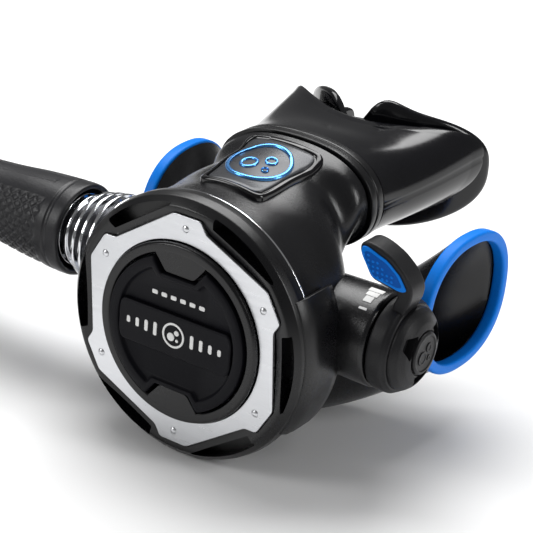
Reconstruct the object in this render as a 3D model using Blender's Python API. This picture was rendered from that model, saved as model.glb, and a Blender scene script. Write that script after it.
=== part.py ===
"""Second stage of a scuba regulator with its low-pressure hose, one object for each piece.

Lengths are in millimetres here, and the finished pieces are scaled to metres at the end. The design frame has
its origin at the centre of the purge button's face: -Y is the front, +Y runs back to the
mouthpiece, +X is the adjuster's side and +Z is up. An empty carries every piece from there
to the part's own frame, whose origin lies under the middle of the second stage.
"""
from math import atan2, ceil, copysign, cos, exp, hypot, pi, radians, sin, tan

import bmesh
import bpy
from mathutils import Matrix, Vector

MM = 0.001
GAP = 0.3                     # clearance between pieces that rest on each other

# Frame
BASE_Z = -36.8                # the surface that the part stands on
CENTRE_X, CENTRE_Y = -0.2, 53.1     # middle of the second stage

# Front stack, along Y
PURGE_R = 25.0
BUTTON_R = 21.5
PLATE_FRONT, PLATE_BACK = 1.5, 2.6
PLATE_R = 32.6
NOTCH_R = 29.9
COVER_R = 36.8
COVER_FRONT, COVER_BACK = 2.9, 9.2
WINDOW_R = 33.3
PETALS = 6

# Case
CASE_FRONT = 10.4
DRUM_R = 35.2
AXIS_Y, AXIS_Z = 30.0, 3.0    # the valve's axis, along X
BOSS_R = 13.0
BOSS_END = 45.6               # the adjuster knob starts here
COLLAR_Y = 57.5

# Valve
BARREL_R, BARREL_BORE = 7.0, 5.2
LEVER_PIVOT = (8.0, 22.4)     # X and Y of the demand lever's fulcrum

# Adjuster
KNOB_R = 12.6
LEVER_LEAN = radians(9.5)

# Inlet
FIN_R = 14.3                  # the largest fin, next to the case

# Exhaust tee
TEE_HALF = 45.3
RIM_TILT = 0.045

# Mouthpiece
FLANGE_BOW = 16.0

# Hose
HOSE_R = 6.25
HOSE_START_X = -84.6
PROTECTOR_END_X = -150.0
COIL_START_X = -165.0
COIL_R = 58.0
COIL_PITCH = 15.0
COIL_TURNS = 1.4
DROP_ARC = radians(150)
END_LIFT, LIFT_ARC = 1.9, radians(40)    # the hose rises a little to meet its fitting

MATERIALS = {
    "satin_black": ((0.018, 0.018, 0.020), 0.0, 0.45),
    "gloss_black": ((0.010, 0.010, 0.012), 0.0, 0.18),
    "matte_grey": ((0.035, 0.035, 0.038), 0.0, 0.60),
    "rubber_black": ((0.015, 0.015, 0.016), 0.0, 0.70),
    "silicone_black": ((0.020, 0.020, 0.023), 0.0, 0.32),
    "satin_silver": ((0.62, 0.63, 0.65), 1.0, 0.34),
    "chrome": ((0.78, 0.79, 0.81), 1.0, 0.12),
    "steel": ((0.50, 0.50, 0.52), 1.0, 0.28),
    "brass": ((0.72, 0.56, 0.28), 1.0, 0.30),
    "clear_silicone": ((0.62, 0.64, 0.66), 0.0, 0.35),
    "white_plastic": ((0.75, 0.75, 0.74), 0.0, 0.45),
    "blue_trim": ((0.010, 0.200, 0.700), 0.0, 0.38),
    "blue_metal": ((0.150, 0.420, 0.850), 1.0, 0.25),
}


# ---------------------------------------------------------------- helpers

def clear_scene():
    for thing in list(bpy.data.objects):
        bpy.data.objects.remove(thing, do_unlink=True)


def get_material(name):
    found = bpy.data.materials.get(name)
    if found:
        return found
    colour, metallic, roughness = MATERIALS[name]
    made = bpy.data.materials.new(name)
    made.use_nodes = True
    shader = made.node_tree.nodes["Principled BSDF"]
    shader.inputs["Base Color"].default_value = (*colour, 1.0)
    shader.inputs["Metallic"].default_value = metallic
    shader.inputs["Roughness"].default_value = roughness
    return made


def make_object(name, points, faces, material, pivot=(0, 0, 0)):
    """A closed mesh from design points, with its origin at the pivot."""
    mesh = bpy.data.meshes.new(name)
    local = [tuple(p[i] - pivot[i] for i in range(3)) for p in points]
    mesh.from_pydata(local, [], faces)
    shell = bmesh.new()
    shell.from_mesh(mesh)
    bmesh.ops.recalc_face_normals(shell, faces=shell.faces)
    if shell.calc_volume(signed=True) < 0:
        bmesh.ops.reverse_faces(shell, faces=shell.faces)
    shell.to_mesh(mesh)
    shell.free()
    mesh.shade_smooth()
    mesh.set_sharp_from_angle(angle=radians(35))
    made = bpy.data.objects.new(name, mesh)
    made.location = pivot
    made.data.materials.append(get_material(material))
    bpy.context.scene.collection.objects.link(made)
    return made


def combine(target, tool, operation, solver):
    """Boolean the tool into the target, then take the tool away."""
    modifier = target.modifiers.new(operation, "BOOLEAN")
    modifier.operation = operation
    modifier.solver = solver
    modifier.object = tool
    bpy.context.view_layer.update()
    depsgraph = bpy.context.evaluated_depsgraph_get()
    result = bpy.data.meshes.new_from_object(target.evaluated_get(depsgraph))
    target.modifiers.clear()
    spent = target.data
    target.data = result
    result.name = target.name
    bpy.data.meshes.remove(spent)
    bpy.data.objects.remove(tool, do_unlink=True)
    result.set_sharp_from_angle(angle=radians(35))
    return target


def cut(target, *tools, solver="EXACT"):
    """Take one or more separate tools away from the target in one step."""
    first = tools[0]
    joined = bmesh.new()
    for tool in tools:
        tool.data.transform(Matrix.Translation(tool.location))
        tool.location = (0, 0, 0)
        joined.from_mesh(tool.data)
    joined.to_mesh(first.data)
    joined.free()
    for tool in tools[1:]:
        bpy.data.objects.remove(tool, do_unlink=True)
    return combine(target, first, "DIFFERENCE", solver)


def fuse(target, tool):
    return combine(target, tool, "UNION", "EXACT")


def loft(name, loops, material, ring=False, pivot=(0, 0, 0)):
    """Skin through equal loops of points; a ring joins the last loop to the first."""
    count = len(loops[0])
    points = [p for loop in loops for p in loop]
    faces = []
    spans = len(loops) if ring else len(loops) - 1
    for k in range(spans):
        a = k * count
        b = (k + 1) % len(loops) * count
        for i in range(count):
            j = (i + 1) % count
            faces.append((a + i, a + j, b + j, b + i))
    if not ring:
        faces.append(tuple(range(count)))
        faces.append(tuple(range(len(points) - count, len(points))))
    return make_object(name, points, faces, material, pivot)


def around(axis, centre, along, radius, angle):
    """A point at a radius from an axis along X or Y."""
    if axis == "X":
        return (along, centre[0] + radius * cos(angle), centre[1] + radius * sin(angle))
    return (centre[0] + radius * cos(angle), along, centre[1] + radius * sin(angle))


def turned(name, profile, material, axis="Y", centre=(0, 0), steps=32, pivot=None):
    """Turn a profile of (along, radius) points. A closed profile off the axis makes a ring;
    one that starts and ends at radius 0 makes a solid."""
    solid = profile[0][1] == 0
    rows = profile[1:-1] if solid else profile
    points = []
    for along, radius in rows:
        points += [around(axis, centre, along, radius, 2 * pi * i / steps) for i in range(steps)]
    faces = []
    for k in range(len(rows) - 1 if solid else len(rows)):
        a = k * steps
        b = (k + 1) % len(rows) * steps
        for i in range(steps):
            j = (i + 1) % steps
            faces.append((a + i, a + j, b + j, b + i))
    if solid:
        faces.append(tuple(range(steps)))
        faces.append(tuple(range(len(points) - steps, len(points))))
    if pivot is None:
        pivot = around(axis, centre, profile[0][0], 0.0, 0.0)
    return make_object(name, points, faces, material, pivot)


def tube(name, start, end, outer, inner, material, axis="Y", centre=(0, 0), steps=24, pivot=None):
    profile = [(start, outer), (end, outer), (end, inner), (start, inner)]
    return turned(name, profile, material, axis, centre, steps, pivot)


def rod(name, start, end, radius, material, axis="Y", centre=(0, 0), steps=24, pivot=None):
    profile = [(start, 0), (start, radius), (end, radius), (end, 0)]
    return turned(name, profile, material, axis, centre, steps, pivot)


def prism(name, outline, start, end, material, axis="Y", shear=0.0, pivot=(0, 0, 0)):
    """Extrude an outline along an axis. Along Y the outline is (x, z), along X (y, z) and
    along Z (x, y). A shear moves it along Y by that much for each millimetre of height."""
    loops = []
    for along in (start, end):
        if axis == "Y":
            loops.append([(x, along - shear * (z - AXIS_Z), z) for x, z in outline])
        elif axis == "X":
            loops.append([(along, y, z) for y, z in outline])
        else:
            loops.append([(x, y, along) for x, y in outline])
    return loft(name, loops, material, pivot=pivot)


def block(name, low, high, material, pivot=(0, 0, 0)):
    outline = [(low[0], low[2]), (high[0], low[2]), (high[0], high[2]), (low[0], high[2])]
    return prism(name, outline, low[1], high[1], material, pivot=pivot)


def squircle(a, b, power, count=48):
    """Points of a superellipse of half-width a and half-height b."""
    shape = []
    for i in range(count):
        c, s = cos(2 * pi * i / count), sin(2 * pi * i / count)
        shape.append((copysign(abs(c) ** (2 / power), c) * a, copysign(abs(s) ** (2 / power), s) * b))
    return shape


def helix(name, start, end, radius, wire, turns, material, axis, centre, sides=5, per_turn=10):
    """A coil spring along an axis."""
    loops = []
    steps = ceil(turns * per_turn)
    for k in range(steps + 1):
        t = k / steps
        angle = 2 * pi * turns * t
        along = start + wire + (end - start - 2 * wire) * t
        loop = []
        for i in range(sides):
            phi = 2 * pi * i / sides
            loop.append(around(axis, centre, along + wire * sin(phi), radius + wire * cos(phi), angle))
        loops.append(loop)
    return loft(name, loops, material)


def polar(radius, degrees):
    """A point of the front face, the angle counted clockwise from the top."""
    return (radius * sin(radians(degrees)), radius * cos(radians(degrees)))


def arc(radius, first, last, step):
    """Points of an arc of the front face between two angles in degrees."""
    count = max(1, ceil(abs(last - first) / step))
    return [polar(radius, first + (last - first) * k / count) for k in range(count + 1)]


# ---------------------------------------------------------------- front cover

def tab_outline(grow):
    """Trapezoid that reaches in from the bezel over the top of the button."""
    reach = 16.3 - grow
    return [(-7.8 - grow, 22.6), (-4.3 - grow, reach), (4.3 + grow, reach), (7.8 + grow, 22.6)]


def mirrored(outline):
    return [(x, -z) for x, z in reversed(outline)]


def purge_button():
    button = turned(
        "purge_button",
        [(-0.2, 0), (-0.2, 18.6), (-0.9, 19.2), (-0.9, BUTTON_R - 0.5), (-0.4, BUTTON_R),
         (2.0, BUTTON_R), (2.0, 3.0), (9.8, 3.0), (9.8, 0)],
        "rubber_black", steps=36)
    band = [(-17, -6.5), (17, -6.5), (18.2, 0), (17, 5.5), (-17, 5.5), (-18.2, 0)]
    fuse(button, prism("band", band, -1.8, 0.4, "rubber_black"))
    for outline in (tab_outline(0.45), mirrored(tab_outline(0.45))):
        cut(button, prism("tab_room", outline, -3, 2.4, "rubber_black"))
    return button


def purge_bezel():
    bezel = turned(
        "purge_bezel",
        [(0.4, PURGE_R - 0.2), (0.0, PURGE_R - 0.7), (0.0, 22.4), (0.4, 21.95), (2.6, 21.95),
         (2.6, PURGE_R - 0.2)],
        "gloss_black", steps=36)
    for outline in (tab_outline(0.0), mirrored(tab_outline(0.0))):
        fuse(bezel, prism("tab", outline, 0.15, 2.5, "gloss_black"))
    return bezel


def plate_outline():
    """Six lands on the outer circle, each with a straight run up to it from the last notch."""
    shape = []
    for k in range(PETALS):
        turn = 360 / PETALS * k
        shape += arc(PLATE_R, turn - 7.5, turn + 7.9, 5)
        shape.append(polar(NOTCH_R, turn + 12))
    return shape


def face_plate():
    plate = prism("face_plate", plate_outline(), PLATE_FRONT, PLATE_BACK, "satin_silver")
    return cut(plate, rod("hole", 0, 4, PURGE_R + 0.15, "satin_silver", steps=48))


def front_cover():
    wall = COVER_R - 3.2
    cover = turned(
        "front_cover",
        [(COVER_FRONT, 33.6), (3.6, COVER_R - 0.9), (5.4, COVER_R), (COVER_BACK, COVER_R),
         (COVER_BACK, wall), (5.0, wall), (5.0, 24.0), (7.0, 24.0), (7.0, 8.6), (9.2, 8.6),
         (9.2, 3.5), (8.0, 3.5), (8.0, 7.2), (5.4, 7.2), (5.4, 22.3), (COVER_FRONT, 22.3)],
        "satin_black", steps=40)
    tab = arc(COVER_R + 1.2, 61, 123, 10) + arc(COVER_R - 0.95, 123, 61, 10)
    fuse(cover, prism("latch_tab", tab, 5.9, 20.5, "satin_black"))
    cut(cover, rod("boss_room", 30, 45, BOSS_R + 0.4, "satin_black", "X", (AXIS_Y, AXIS_Z), 28))
    openings = []
    for k in range(PETALS):
        turn = 360 / PETALS * k
        leaf = [polar(NOTCH_R + 0.8, turn + 13)] + arc(WINDOW_R, turn + 14, turn + 50, 9)
        openings.append(prism("window", leaf, 1, 6, "satin_black"))
        openings.append(rod("flow_hole", 4, 8, 2.2, "satin_black", centre=polar(15, turn), steps=8))
    return cut(cover, *openings)


def cover_grille():
    grille = tube("cover_grille", 7.6, 8.8, 33.2, 24.4, "steel", steps=30)
    vents = [rod("vent", 7, 9.4, 2.6, "steel", centre=polar(28.8, 30 * k + 4.3), steps=8)
             for k in range(12)]
    return cut(grille, *vents)


def front_pieces():
    purge_button()
    helix("purge_spring", 2.3, 7.7, 5.2, 0.45, 2.5, "steel", "Y", (0, 0))
    purge_bezel()
    face_plate()
    front_cover()
    cover_grille()
    turned("trim_ring", [(9.5, 35.5), (10.1, 35.5), (10.1, 33.2), (9.5, 33.2)], "chrome", steps=40)
    turned("diaphragm",
           [(10.2, 0), (10.2, 20), (10.2, 25), (11.9, 28), (10.7, 30.7), (10.7, 32.6),
            (12.2, 32.6), (12.2, 30.7), (12.8, 28), (11.0, 25.4), (11.0, 0)],
           "clear_silicone", steps=24)
    rod("diaphragm_disc", 11.3, 12.1, 12.0, "white_plastic")


# ---------------------------------------------------------------- case

CASE_STATIONS = [             # y, centre z, half-width, half-height
    (CASE_FRONT, 0.0, DRUM_R, DRUM_R),
    (16.0, 0.5, 35.0, 34.8),
    (24.0, 3.0, 33.5, 32.5),
    (32.0, 9.0, 30.5, 28.0),
    (40.0, 17.0, 23.0, 21.5),
    (46.0, 26.1, 23.8, 13.4),
    (49.8, 26.0, 24.2, 14.4),
    (50.0, 26.0, 21.0, 11.0),
    (COLLAR_Y, 26.0, 21.0, 11.0),
]
CASE_INSIDE = [
    (COLLAR_Y, 26.0, 19.0, 9.0),
    (46.0, 25.6, 19.5, 10.2),
    (40.0, 17.6, 20.6, 18.8),
    (32.0, 9.2, 28.2, 25.6),
    (24.0, 3.0, 31.0, 30.0),
    (16.0, 0.5, 31.6, 31.2),
    (12.5, 0.0, 30.4, 30.4),
    (12.5, 0.0, 33.0, 33.0),
    (CASE_FRONT, 0.0, 33.0, 33.0),
]
PORT_CENTRE = (0.0, 34.0, -16.0)      # on the underside of the case
PORT_NORMAL = Vector((0.0, 0.864, -0.504))


def case_power(y):
    """The case is round at the front and squarer at the mouthpiece."""
    return 2.0 + 0.3 * max(0.0, min(1.0, (y - 40.0) / 10.0))


def case_loop(station, grow=0.0, count=36):
    y, centre, a, b = station
    power = case_power(y)
    return [(x, y, centre + z) for x, z in squircle(a + grow, b + grow, power, count)]


def case_top(x, y):
    """Height of the case's outer surface above a point of the X-Y plane."""
    for near, far in zip(CASE_STATIONS, CASE_STATIONS[1:]):
        if near[0] <= y <= far[0]:
            t = (y - near[0]) / (far[0] - near[0])
            _, centre, a, b = [p + (q - p) * t for p, q in zip(near, far)]
            power = case_power(y)
            return centre + b * max(0.0, 1 - abs(x / a) ** power) ** (1 / power)
    return CASE_STATIONS[-1][1]


def on_port(piece):
    """Stand a piece that was made about the Y axis on the exhaust port."""
    turn = Vector((0, 1, 0)).rotation_difference(PORT_NORMAL).to_matrix().to_4x4()
    place = Matrix.Translation(Vector(PORT_CENTRE)) @ turn
    piece.data.transform(place @ Matrix.Translation(piece.location))
    piece.location = (0, 0, 0)
    return piece


def case_body():
    loops = [case_loop(s) for s in CASE_STATIONS + CASE_INSIDE]
    case = loft("case_body", loops, "satin_black", ring=True)
    centre = (AXIS_Y, AXIS_Z)
    for low, high in ((19.5, BOSS_END), (-38.0, -19.5)):
        fuse(case, rod("boss", low, high, BOSS_R, "satin_black", "X", centre, 28))
    cut(case, rod("bore", 17.0, 47.0, 9.0, "satin_black", "X", centre, 26),
        rod("bore", -41.0, -17.0, BARREL_R + 0.4, "satin_black", "X", centre, 26),
        solver="MANIFOLD")
    fuse(case, on_port(rod("port_boss", -4.0, 1.6, 9.4, "satin_black", steps=20)))
    holes = [rod("port", -8, 4, 1.9, "satin_black", centre=polar(4.6, 72 * k), steps=8)
             for k in range(5)]
    holes.append(rod("stem_hole", -8, 4, 1.4, "satin_black", steps=8))
    return cut(case, *[on_port(hole) for hole in holes])


def badge_outline():
    """Rounded panel on top of the case, a little wider at the back."""
    corners = [(-9.0, 19.5), (9.0, 19.5), (11.6, 45.6), (-11.6, 45.6)]
    round_off = 2.4
    shape = []
    for k, (x, y) in enumerate(corners):
        inward = (x - copysign(round_off, x), y + (round_off if y < 30 else -round_off))
        first = (180, 270, 0, 90)[k]
        for step in range(5):
            angle = radians(first + 22.5 * step)
            shape.append((inward[0] + round_off * cos(angle), inward[1] + round_off * sin(angle)))
    return shape


def draped(name, outline, lift, thick, material):
    """A patch with this outline, laid over the top of the case."""
    middle = (sum(p[0] for p in outline) / len(outline), sum(p[1] for p in outline) / len(outline))
    rings = (0.999, 0.66, 0.33)
    loops = []
    for height, order in ((lift, rings[::-1]), (lift + thick, rings)):
        for scale in order:
            loop = []
            for x, y in outline:
                px = middle[0] + (x - middle[0]) * scale
                py = middle[1] + (y - middle[1]) * scale
                loop.append((px, py, case_top(px, py) + height))
            loops.append(loop)
    return loft(name, loops, material)


def badge_ring():
    loops = []
    for radius, height in ((8.4, 2.7), (9.7, 2.7), (9.7, 3.3), (8.4, 3.3)):
        loop = []
        for i in range(32):
            x, y = radius * cos(2 * pi * i / 32), 33.0 + radius * sin(2 * pi * i / 32)
            loop.append((x, y, case_top(x, y) + height))
        loops.append(loop)
    return loft("badge_ring", loops, "blue_metal", ring=True)


def case_pieces():
    case_body()
    draped("top_badge", badge_outline(), 0.9, 1.3, "gloss_black")
    badge_ring()


# ---------------------------------------------------------------- demand valve

def valve_barrel():
    centre = (AXIS_Y, AXIS_Z)
    barrel = tube("valve_barrel", -36.0, 33.0, BARREL_R, BARREL_BORE, "brass", "X", centre, 32)
    cut(barrel, block("lever_slot", (5.5, 20, -3.4), (11.5, 26.6, 9.4), "brass"))
    for x in (-8.0, -1.0):
        cut(barrel, rod("air_port", 32, 40, 2.4, "brass", "Y", (x, AXIS_Z), 16))
    return barrel


def demand_lever():
    """A bent arm with two feet that reach into the barrel and push the poppet back."""
    px, py = LEVER_PIVOT
    pivot = (px, py, AXIS_Z)
    lever = block("demand_lever", (px - 0.5, py - 1.0, -1.2), (px + 0.5, py + 0.4, 7.2), "steel", pivot)
    for z in (-1.2, 6.2):
        fuse(lever, block("foot", (px - 0.5, py, z), (px + 0.5, py + 3.6, z + 1.0), "steel"))
    arm = [(px + 0.2, py - 0.9), (px + 0.2, py - 0.1), (px - 12.4, 13.4), (px - 16.0, 13.4),
           (px - 16.0, 12.5), (px - 12.8, 12.5)]
    fuse(lever, prism("arm", arm, 0.8, 5.2, "steel", "Z"))
    return lever


def valve_pieces():
    centre = (AXIS_Y, AXIS_Z)
    valve_barrel()
    turned("orifice_seat",
           [(-44.0, 4.8), (-25.0, 4.8), (-24.0, 3.2), (-22.0, 2.6), (-22.0, 1.7), (-44.0, 1.7)],
           "chrome", "X", centre, 24)
    rod("seat_disc", -21.7, -20.2, 3.8, "rubber_black", "X", centre)
    turned("poppet",
           [(-19.9, 0), (-19.9, 4.7), (1.0, 4.7), (1.8, 4.0), (8.8, 4.0), (8.8, 4.7), (13.8, 4.7),
            (13.8, 0)], "white_plastic", "X", centre, 24)
    helix("poppet_spring", 14.1, 24.0, 3.9, 0.5, 4.5, "steel", "X", centre)
    rod("spring_pad", 24.3, 27.4, 4.8, "white_plastic", "X", centre)
    turned("adjusting_screw",
           [(29.6, 0), (29.6, 4.8), (39.0, 4.8), (39.0, 6.6), (40.0, 6.6), (40.0, 4.2), (50.0, 4.2),
            (50.0, 0)], "brass", "X", centre, 24)
    demand_lever()


# ---------------------------------------------------------------- adjuster

def adjuster_knob():
    centre = (AXIS_Y, AXIS_Z)
    start = BOSS_END + 0.4
    knob = turned(
        "adjuster_knob",
        [(start, 11.9), (start + 0.6, KNOB_R), (50.6, KNOB_R), (52.0, 11.6), (52.0, 4.5), (start, 4.5)],
        "matte_grey", "X", centre, 32, pivot=(46, AXIS_Y, AXIS_Z))
    arm = [(48.6, 9.0), (48.6, 14.5), (49.6, 17.8), (49.9, 19.8), (42.0, 21.7), (38.8, 28.6),
           (39.2, 31.0), (41.2, 31.9), (44.6, 31.2), (48.6, 29.2), (52.2, 26.0), (54.4, 21.8),
           (53.8, 18.0), (51.9, 14.8), (51.9, 9.0)]
    fuse(knob, prism("arm", arm, AXIS_Y - 3.5, AXIS_Y + 3.5, "matte_grey", shear=tan(LEVER_LEAN)))
    return knob


def knob_cap():
    centre = (AXIS_Y, AXIS_Z)
    cap = turned(
        "knob_cap",
        [(52.3, 0), (52.3, 10.7), (53.6, 10.7), (54.5, 9.9), (54.5, 0)],
        "matte_grey", "X", centre, 28, pivot=(52.3, AXIS_Y, AXIS_Z))
    for k in range(3):
        shape = []
        for radius, degrees in ((6.4, -26), (9.2, -14), (9.2, 14), (6.4, 26)):
            angle = radians(120 * k + 30 + degrees)
            shape.append((AXIS_Y + radius * cos(angle), AXIS_Z + radius * sin(angle)))
        cut(cap, prism("opening", shape, 53.3, 56, "matte_grey", "X"))
    return cap


def lever_pad():
    front = AXIS_Y - 3.5 - GAP
    pad = [(39.8, 28.2), (43.0, 22.6), (52.0, 20.8), (52.6, 21.8), (50.4, 25.2), (47.2, 28.2),
           (41.0, 30.6), (39.9, 30.3)]
    return prism("lever_pad", pad, front - 0.7, front, "blue_trim", shear=tan(LEVER_LEAN))


def adjuster_pieces():
    centre = (AXIS_Y, AXIS_Z)
    adjuster_knob()
    knob_cap()
    turned("knob_badge", [(54.8, 0), (54.8, 5.8), (56.2, 5.8), (56.8, 5.2), (56.8, 0)],
           "gloss_black", "X", centre, 24)
    lever_pad()
    vane = tube("venturi_vane", 17.3, 38.7, 8.7, 7.3, "white_plastic", "X", centre, 32)
    fuse(vane, block("blade", (12.5, 35.6, 8.4), (18.5, 37.0, 9.8), "white_plastic"))


# ---------------------------------------------------------------- inlet

def inlet_barrel():
    """Finned metal inlet: each fin is a thin disc on a tapering core."""
    fins = ((-56.3, 10.6), (-53.6, 10.9), (-49.4, 12.8), (-46.4, 13.5), (-43.4, 14.0), (-40.2, FIN_R))
    thick = 0.8
    outline = [(-57.2, 5.2), (-57.2, 9.0)]
    for x, radius in fins:
        outline += [(x - thick, radius - 2.4), (x - thick, radius), (x + thick, radius),
                    (x + thick, radius - 2.4)]
    outline += [(-38.4, 11.0), (-38.4, 5.2)]
    return turned("inlet_barrel", outline, "chrome", "X", (AXIS_Y, AXIS_Z), 24)


# ---------------------------------------------------------------- exhaust

def tee_sweep(s):
    """How far back the horns sweep: 0 in the middle, 1 at the ends, with a soft bend."""
    soft = 0.22
    return (hypot(s, soft) - soft) / (hypot(1, soft) - soft)


def tee_loop(s, shrink=0.0, count=28):
    """Section of the exhaust tee; s runs from -1 at the left end to 1 at the right."""
    middle_y = 44.5 + 21.5 * tee_sweep(s)
    middle_z = -21.4 + 23.4 * s * s
    half_y = 16.5 + 4.0 * s * s - shrink
    half_z = 15.8 + 3.4 * s * s - shrink
    x = TEE_HALF * s
    loop = []
    for y, z in squircle(half_y, half_z, 2.3, count):
        loop.append((x + RIM_TILT * s * y, middle_y + y, middle_z + z))
    return loop


def exhaust_tee():
    stations = [k / 5 for k in range(-5, 6)]
    outer = [tee_loop(s) for s in stations]
    inner = [tee_loop(s, 2.0) for s in reversed(stations)]
    tee = loft("exhaust_tee", outer + inner, "satin_black", ring=True)
    room = [case_loop(s, 0.35) for s in CASE_STATIONS[:7]]
    room.append(case_loop((54.0, 27.0, 23.0, 12.0), 0.35))
    cut(tee, loft("case_room", room, "satin_black"))
    for low, high, radius in ((19.0, 41.0, BOSS_R + 0.4), (-50.0, -19.0, FIN_R + 0.6)):
        cut(tee, rod("room", low, high, radius, "satin_black", "X", (AXIS_Y, AXIS_Z), 48))
    cut(tee, on_port(rod("port_room", -6.0, 4.8, 9.8, "satin_black", steps=22)))
    cut(tee, block("foot_room", (-40, 20, -50), (40, 70, BASE_Z + 0.01), "satin_black"))
    return tee


def exhaust_rim(name, side):
    """Coloured lip on the end of a horn."""
    loops = []
    for out, shrink in ((0.3, -0.6), (3.6, -0.6), (3.6, 2.2), (0.3, 2.2)):
        loop = tee_loop(side, shrink)
        loops.append([(x + side * out, y, z) for x, y, z in loop])
    return loft(name, loops, "blue_trim", ring=True)


def exhaust_pieces():
    exhaust_tee()
    exhaust_rim("exhaust_rim_right", 1)
    exhaust_rim("exhaust_rim_left", -1)
    flap = [(-5.2, 0), (-5.2, 1.05), (1.9, 1.05), (1.9, 7.6), (2.5, 7.9), (2.9, 1.5), (2.9, 0)]
    on_port(turned("exhaust_valve", flap, "clear_silicone", steps=28))


# ---------------------------------------------------------------- mouthpiece

def bowed(y, centre, a, b, power, bow, count=32):
    """A section of the mouthpiece, bent back at the sides."""
    loop = []
    for x, z in squircle(a, b, power, count):
        loop.append((x, y + bow * (x / 27) ** 2, centre + z))
    return loop


def flange_loop(y, scale):
    """Outline of the gum flange: two raised ears with a notch between them."""
    loop = []
    for x, z in squircle(30.5, 18.0, 2.6, 40):
        notch = 6.5 * exp(-(x / 8) ** 2) if z > 0 else 0.0
        px, pz = x * scale, 24.2 + (z - notch) * scale
        loop.append((px, y + FLANGE_BOW * (px / 27) ** 2, pz))
    return loop


def mouthpiece():
    shield = [
        bowed(50.4, 26.0, 23.3, 13.4, 2.3, 0.0), bowed(56.3, 26.0, 23.3, 13.4, 2.3, 0.0),
        bowed(56.6, 26.0, 25.3, 14.6, 2.3, 0.0), bowed(63.0, 25.8, 27.0, 14.7, 2.4, 1.5),
        bowed(70.0, 25.2, 30.0, 14.3, 2.6, 7.0), bowed(77.5, 24.6, 34.0, 13.8, 3.0, 13.5),
        bowed(80.0, 24.6, 33.6, 13.3, 3.0, 13.5), bowed(76.0, 25.0, 19.0, 11.8, 2.3, 3.0),
        bowed(90.0, 24.6, 17.5, 10.8, 2.3, 5.0), bowed(90.0, 24.6, 14.8, 8.2, 2.3, 5.0),
        bowed(66.0, 25.4, 17.0, 9.4, 2.3, 0.0), bowed(60.0, 26.0, 21.3, 11.3, 2.3, 0.0),
        bowed(50.4, 26.0, 21.3, 11.3, 2.3, 0.0)]
    piece = loft("mouthpiece", shield, "silicone_black", ring=True)
    hole = 0.53
    flange = [flange_loop(84.0, hole), flange_loop(84.0, 1.0), flange_loop(86.6, 1.0),
              flange_loop(86.6, hole)]
    fuse(piece, loft("flange", flange, "silicone_black", ring=True))
    for side in (1, -1):
        tab = [(side * 16.6, 90.0), (side * 27.0, 98.5), (side * 27.0, 106.0), (side * 24.0, 108.0),
               (side * 16.6, 108.0)]
        fuse(piece, prism("bite_tab", tab, 22.4, 26.8, "silicone_black", "Z"))
        low, high = sorted((side * 15.4, side * 17.8))
        fuse(piece, block("bite_wing", (low, 86.5, 16.6), (high, 106.5, 32.0), "silicone_black"))
    return piece


def mouthpiece_pieces():
    mouthpiece()
    loops = [bowed(50.6, 26.0, 25.4, 14.9, 2.3, 0.0), bowed(56.0, 26.0, 25.4, 14.9, 2.3, 0.0),
             bowed(56.0, 26.0, 23.6, 13.7, 2.3, 0.0), bowed(50.6, 26.0, 23.6, 13.7, 2.3, 0.0)]
    loft("mouthpiece_band", loops, "satin_black", ring=True)


# ---------------------------------------------------------------- hose

def coil_point(angle):
    """A point of the hose's coil; the angle is counted on from the coil's start."""
    radius = COIL_R + COIL_PITCH * angle / (2 * pi)
    turn = pi / 2 + angle
    return (COIL_START_X + radius * cos(turn), AXIS_Y - COIL_R + radius * sin(turn))


def hose_route():
    """Straight through the protector, then down and round on the floor."""
    floor = BASE_Z + HOSE_R + 0.05
    route = [(HOSE_START_X - 22.0 * k, AXIS_Y, AXIS_Z) for k in range(4)]
    total = 2 * pi * COIL_TURNS
    count = 26
    for k in range(count + 1):
        angle = total * k / count
        fall = min(1.0, angle / DROP_ARC)
        lift = max(0.0, 1.0 - (total - angle) / LIFT_ARC)
        height = floor + (AXIS_Z - floor) * (0.5 + 0.5 * cos(pi * fall))
        height += END_LIFT * (0.5 - 0.5 * cos(pi * lift))
        x, y = coil_point(angle)
        route.append((x, y, height))
    return route


def hose():
    curve = bpy.data.curves.new("hose", "CURVE")
    curve.dimensions = "3D"
    curve.bevel_depth = HOSE_R * MM
    curve.bevel_resolution = 3
    curve.use_fill_caps = True
    route = hose_route()
    spline = curve.splines.new("POLY")
    spline.points.add(len(route) - 1)
    for point, place in zip(spline.points, route):
        point.co = (*[c * MM for c in place], 1.0)
    made = bpy.data.objects.new("hose", curve)
    made.data.materials.append(get_material("rubber_black"))
    bpy.context.scene.collection.objects.link(made)


def hose_end():
    """Where the hose stops, and the direction it points in there."""
    last, before = hose_route()[-1], hose_route()[-2]
    step = Vector(last) - Vector(before)
    return Vector(last), atan2(step.y, step.x)


def on_hose_end(piece):
    """Stand a piece that was made along +X on the far end of the hose."""
    place, turn = hose_end()
    piece.data.transform(Matrix.Translation(piece.location))
    piece.location = place
    piece.rotation_euler = (0, 0, turn)
    return piece


def hexagon(across_flats):
    radius = across_flats / 2 / cos(pi / 6)
    return [(radius * cos(pi / 3 * k), radius * sin(pi / 3 * k)) for k in range(6)]


def first_stage_fitting():
    fitting = turned(
        "first_stage_fitting",
        [(20.4, 0), (20.4, 5.6), (27.0, 5.6), (27.0, 4.2), (28.6, 4.2), (28.6, 4.76), (36.6, 4.76),
         (37.4, 4.1), (37.4, 0)], "chrome", "X", (0, 0), 18)
    fuse(fitting, prism("hex", hexagon(15.8), 21.5, 27.0, "chrome", "X"))
    cut(fitting, rod("bore", 19.0, 39.0, 2.2, "chrome", "X", (0, 0), 16))
    return on_hose_end(fitting)


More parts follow.
